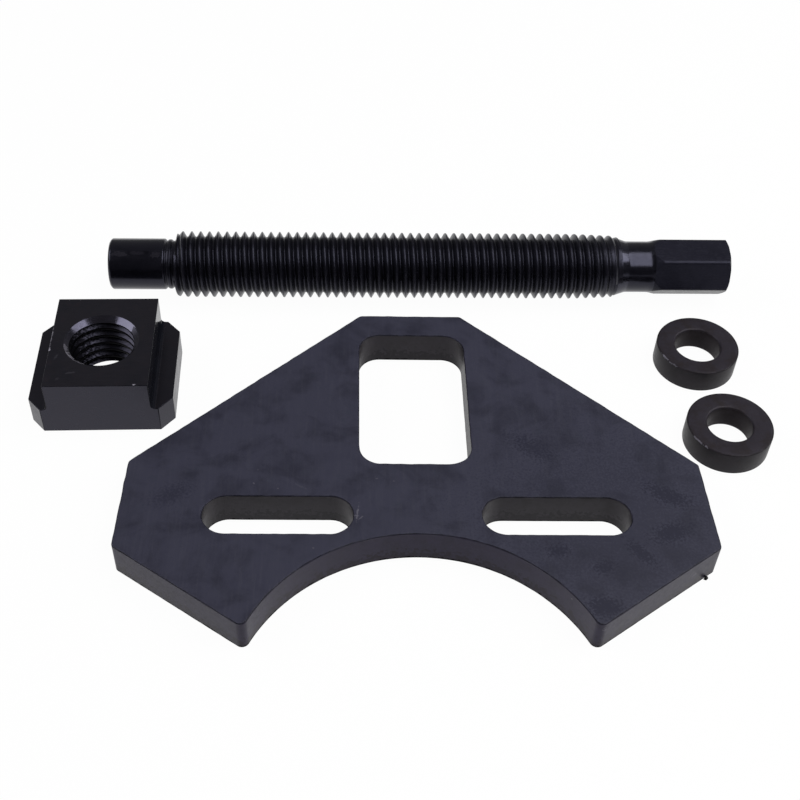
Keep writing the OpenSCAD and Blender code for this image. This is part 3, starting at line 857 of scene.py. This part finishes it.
# painted highlight: a light arc on the near left of the lead-in's chamfer
nutMouthHighlights = (
    ((-9.3, -2.4, 16.2), 3.6, 1.2, 4, -74, 0.3), ((-7.8, -5.6, 16.2), 5.0, 1.5, 4, -52, 0.45),
    ((-5.0, -8.1, 16.2), 5.0, 1.3, 4, -30, 0.4),
)
nutLook = merged(
    oxideLook, light=(0.0040, 0.0034, 0.0040), dark=(0.0022, 0.0022, 0.0030), tint=(0.0058, 0.0032, 0.0036),
    worn=(0.03, 0.03, 0.036), specular=0.46, film=(0.73, 0.71, 1.0), rough=(0.27, 0.34),
    mottleSize=3.2, mottle=0.6, streakScale=(0.3, 2.0, 2.0), streak=0.05, bump=0.05, cloudSize=7.0,
    fleckSpacing=5.0, fleckRadius=0.2, fleckShare=0.10, bright=(0.22, 0.21, 0.25), marks=(
        # the first mark is a chip, the long second one a light line along the top-left edge: worn edge and a
        # painted edge highlight; the rest are small scuffs
        ((-13.4, -3.2, 16.4), 1.5, 1.1, 1.6, 60, 1.0), ((-13.4, 1.8, 16.5), 10.5, 0.6, 0.8, 90, 0.55),
        ((-11.2, -6.0, 16.6), 2.6, 0.7, 1, 70, 0.06), ((-6.8, -11.9, 16.6), 3.2, 0.6, 1, 10, 0.06),
        ((10.0, -16.4, 16.5), 0.8, 0.5, 1, 0, 0.9), ((-9.8, -14.0, 16.6), 1.6, 0.8, 1, 30, 0.035)))
nutEdgeLook = merged(
    nutLook, light=(0.010, 0.010, 0.013), dark=(0.003, 0.003, 0.005), cloudSize=2.0, cloudRange=(0.35, 0.6),
    fleckSpacing=2.5, fleckRadius=0.2, fleckShare=0.10, specular=0.15)
# its blot is painted shade: it darkens the thread turns on the left of the hole and takes away most of their
# sheen
nutThreadLook = merged(
    nutLook, light=(0.0024, 0.0022, 0.0026), dark=(0.0014, 0.0014, 0.0018), specular=0.40, rough=(0.28, 0.38),
    marks=(), blotDull=0.9, blots=(((-10.0, 1.0, 8.0), 22, 36, 60, 0, 1.8),))
nutCrestLook = merged(nutThreadLook, specular=0.03)
nutSideLook = merged(
    nutLook, light=(0.0055, 0.006, 0.009), dark=(0.004, 0.004, 0.006), tint=(0.005, 0.005, 0.007),
    specular=0.16, rough=(0.12, 0.18), bump=0.02, marks=())
# its blot is painted shade dimming the lead-in's sheen at the back left; its marks are the painted highlight
# above
nutLeadInLook = merged(
    nutLook, specular=0.9, rough=(0.14, 0.2), bump=0.04, marks=nutMouthHighlights, blotDull=0.6,
    blots=(((-7.5, 5.0, 16.2), 12, 12, 8, 0, 0.6),))
makePiece(
    combine(nutBody(), nutCutter(), "DIFFERENCE"), "nutBlock", nutPlace, spinTurn(nutSizes["turnDegrees"]), [
        blackOxide("nutOxide", nutLook, nutPlace, nutSizes["turnDegrees"]),
        blackOxide("nutEdgeOxide", nutEdgeLook, nutPlace, nutSizes["turnDegrees"]),
        blackOxide("nutThreadOxide", nutThreadLook, nutPlace, nutSizes["turnDegrees"]),
        blackOxide("nutSideOxide", nutSideLook, nutPlace, nutSizes["turnDegrees"]),
        blackOxide("nutLeadInOxide", nutLeadInLook, nutPlace, nutSizes["turnDegrees"]),
        blackOxide("nutCrestOxide", nutCrestLook, nutPlace, nutSizes["turnDegrees"]),
    ], "nut_block", 28)


# Stud spacers

spacerSizes = {
    "diameter": 22.9, "height": 6.9, "edge": 0.35, "boreEdge": 0.55, "edgeSteps": 4, "steps": 144,
    "boreInset": {1: 0.23, 2: 0.52},
}
spacerParts = {"Top": 0, "Side": 1, "Bore": 2, "Rim": 3}


def buildSpacer(mountName, inset):
    # the photograph shows each bore a little tighter than its mount's radius
    sizes = spacerSizes
    outer, inner = sizes["diameter"] / 2, mounts[mountName]["dims"]["r_mm"] - inset
    high, edge, bore = sizes["height"], sizes["edge"], sizes["boreEdge"]
    corners = [Vector(point) for point in ((inner, 0), (outer, 0), (outer, high), (inner, high))]
    section = []
    for k, (corner, reach) in enumerate(zip(corners, (bore, edge, edge, bore))):
        before, after = corners[k - 1], corners[(k + 1) % 4]
        toBefore, toAfter = (before - corner).normalized(), (after - corner).normalized()
        for step in range(sizes["edgeSteps"] + 1):
            a = math.radians(90 * step / sizes["edgeSteps"])
            shift = toBefore * reach * (1 - math.sin(a))
            section.append(corner + shift + toAfter * reach * (1 - math.cos(a)))
    bm = bmesh.new()
    chain = [bm.verts.new((point.x, 0, point.y)) for point in section]
    edges = [bm.edges.new((chain[k - 1], chain[k])) for k in range(len(chain))]
    bmesh.ops.spin(
        bm, geom=chain + edges, cent=(0, 0, 0), axis=(0, 0, 1), angle=2 * math.pi, steps=sizes["steps"],
        use_merge=True)
    bmesh.ops.remove_doubles(bm, verts=bm.verts, dist=0.001)
    for face in bm.faces:
        middle = face.calc_center_median()
        out = math.hypot(middle.x, middle.y)
        if out > outer - edge:
            part = "Side" if edge < middle.z < high - edge else "Rim"
        else:
            part = "Bore" if bore < middle.z < high - bore else "Top"
        face.material_index = spacerParts[part]
    return bm


spacerLook = merged(
    oxideLook, light=(0.018, 0.0155, 0.021), dark=(0.013, 0.010, 0.011), tint=(0.018, 0.012, 0.012),
    specular=0.2, film=(0.95, 0.9, 1.0), rough=(0.36, 0.48),
    streakScale=(1.5, 1.5, 1.5), streak=0.06, bump=0.1, cloudSize=5.0, mottleSize=1.0)
spacerSideLook = merged(
    spacerLook, light=(0.013, 0.0112, 0.0135), dark=(0.008, 0.007, 0.008), specular=0.17, raggedSize=0.5)
spacerBoreLook = merged(spacerLook, light=(0.018, 0.0145, 0.017), dark=(0.011, 0.008, 0.009), specular=0.09)
spacerRimLook = merged(
    spacerLook, light=(0.016, 0.0135, 0.017), dark=(0.008, 0.007, 0.008), specular=0.16, raggedSize=0.5,
    cloudSize=2.0, cloudRange=(0.35, 0.6))
# light marks on the near left of each top rim: chips and a painted rim highlight
spacerChipsAndHighlights = {
    1: (((-10.1, -4.9, 6.75), 3.6, 0.5, 0.7, -64, 1.0), ((-8.2, -7.8, 6.7), 3.4, 0.5, 0.6, -46, 0.6)),
    2: (((-9.7, -5.8, 6.75), 4.8, 0.5, 0.6, -59, 0.9), ((-8.0, -8.0, 6.7), 1.8, 0.5, 0.6, -45, 0.9)),
}
spacerLooks = {"Top": spacerLook, "Side": spacerSideLook, "Bore": spacerBoreLook, "Rim": spacerRimLook}
for number, chipsAndHighlights in spacerChipsAndHighlights.items():
    place = groundPlace(f"spacer_{number}_bore")
    shape = buildSpacer(f"spacer_{number}_bore", spacerSizes["boreInset"][number])
    looks = [
        blackOxide(f"spacer{part}{number}", merged(spacerLooks[part], marks=chipsAndHighlights), place)
        for part in spacerParts
    ]
    makePiece(
        shape, f"studSpacer{number}", place, Matrix.Identity(4), looks,
        f"stud_spacer_{number}")


# Floor, light and camera

floorLook = {
    "size": 60.0, "colour": (0.82, 0.82, 0.82, 1), "white": 0.97, "sheet": (0.35, 1.4), "beyond": 0.3,
}
studioLook = {"front": 0.08, "back": 0.25, "turn": (-0.9, 0.9)}


def buildFloor():
    bm = bmesh.new()
    bmesh.ops.create_grid(bm, x_segments=1, y_segments=1, size=floorLook["size"] / 2)
    mesh = bpy.data.meshes.new("studioFloor")
    bm.to_mesh(mesh)
    bm.free()
    material = bpy.data.materials.new("paleFloor")
    material.use_nodes = True
    tree = material.node_tree
    tree.nodes.clear()
    plain = addNode(tree, "BsdfDiffuse", {"Color": floorLook["colour"]})
    glow = addNode(tree, "Emission", {"Color": (1, 1, 1, 1), "Strength": 1.0})
    share = seenDirectly(tree, floorLook["sheet"], floorLook["beyond"])
    share = calc(tree, "MULTIPLY", share, floorLook["white"])
    mixed = addNode(tree, "MixShader", {0: share, 1: plain.outputs[0], 2: glow.outputs[0]})
    addNode(tree, "OutputMaterial", {"Surface": mixed.outputs[0]})
    mesh.materials.append(material)
    floor = bpy.data.objects.new("studioFloor", mesh)
    bpy.context.scene.collection.objects.link(floor)


def seenDirectly(tree, sheet, beyond):
    # white to the camera everywhere; in reflections a white sheet that fades into the room
    ray = addNode(tree, "LightPath")
    away = addNode(tree, "VectorMath", {0: addNode(tree, "TexCoord").outputs["Object"]}, operation="LENGTH")
    mirrored = calc(tree, "MAXIMUM", ray.outputs["Is Glossy Ray"], ray.outputs["Is Transmission Ray"])
    mirrored = calc(tree, "MULTIPLY", mirrored, rangeOf(tree, away.outputs["Value"], *sheet, 1, beyond))
    return calc(tree, "MAXIMUM", ray.outputs["Is Camera Ray"], mirrored)


def buildWorld():
    # a soft room, brighter behind the pieces than on the photographer's side
    world = bpy.data.worlds.new("studio")
    bpy.context.scene.world = world
    world.use_nodes = True
    tree = world.node_tree
    tree.nodes.clear()
    direction = addNode(tree, "TexCoord").outputs["Generated"]
    forward = addNode(tree, "SeparateXYZ", {0: direction}).outputs["Y"]
    strength = rangeOf(tree, forward, *studioLook["turn"], studioLook["front"], studioLook["back"])
    room = addNode(tree, "Background", {"Color": (1, 1, 1, 1), "Strength": strength})
    addNode(tree, "OutputWorld", {"Surface": room.outputs[0]})


lampLooks = {
    "overheadRight": {
        "place": (0.31, -0.17, 0.62), "aim": (0.31, -0.17, 0), "size": (0.30, 0.82), "power": 3.6,
    },
    "sideLeft": {"place": (-0.83, 0.01, 0.70), "aim": (-0.06, 0, 0), "size": (0.72, 0.58), "power": 5.2},
    "sideRight": {"place": (0.80, 0.05, 0.54), "aim": (0.05, 0.05, 0), "size": (0.5, 0.45), "power": 3.3},
}


def buildLamps():
    for name, lamp in lampLooks.items():
        data = bpy.data.lights.new(name, "AREA")
        data.shape = "RECTANGLE"
        data.size, data.size_y = lamp["size"]
        data.energy = lamp["power"]
        light = bpy.data.objects.new(name, data)
        light.location = lamp["place"]
        light.visible_camera = False
        towards = Vector(lamp["aim"]) - Vector(lamp["place"])
        light.rotation_euler = towards.to_track_quat("-Z", "Y").to_euler()
        bpy.context.scene.collection.objects.link(light)


cameraView = {
    "fromSlots": (-0.016937, -0.189794, 0.246000), "tilt": 44.052, "pan": -3.353, "roll": 2.912,
    "lens": 56.302, "sensor": 36.0, "clip": (0.01, 20),
}


def buildCamera():
    data = bpy.data.cameras.new("photoCamera")
    data.lens = cameraView["lens"]
    data.sensor_width = cameraView["sensor"]
    data.clip_start, data.clip_end = cameraView["clip"]
    camera = bpy.data.objects.new("photoCamera", data)
    turn = spinTurn(cameraView["pan"]) @ spinTurn(cameraView["tilt"], "X") @ spinTurn(cameraView["roll"])
    place = groundPlace("stud_slots") + Vector(cameraView["fromSlots"])
    camera.matrix_world = Matrix.Translation(place) @ turn
    bpy.context.scene.collection.objects.link(camera)
    bpy.context.scene.camera = camera


buildFloor()
buildWorld()
buildLamps()
buildCamera()
bpy.context.scene.view_settings.view_transform = "Standard"
print("floor, light and camera set")

bpy.context.view_layer.update()
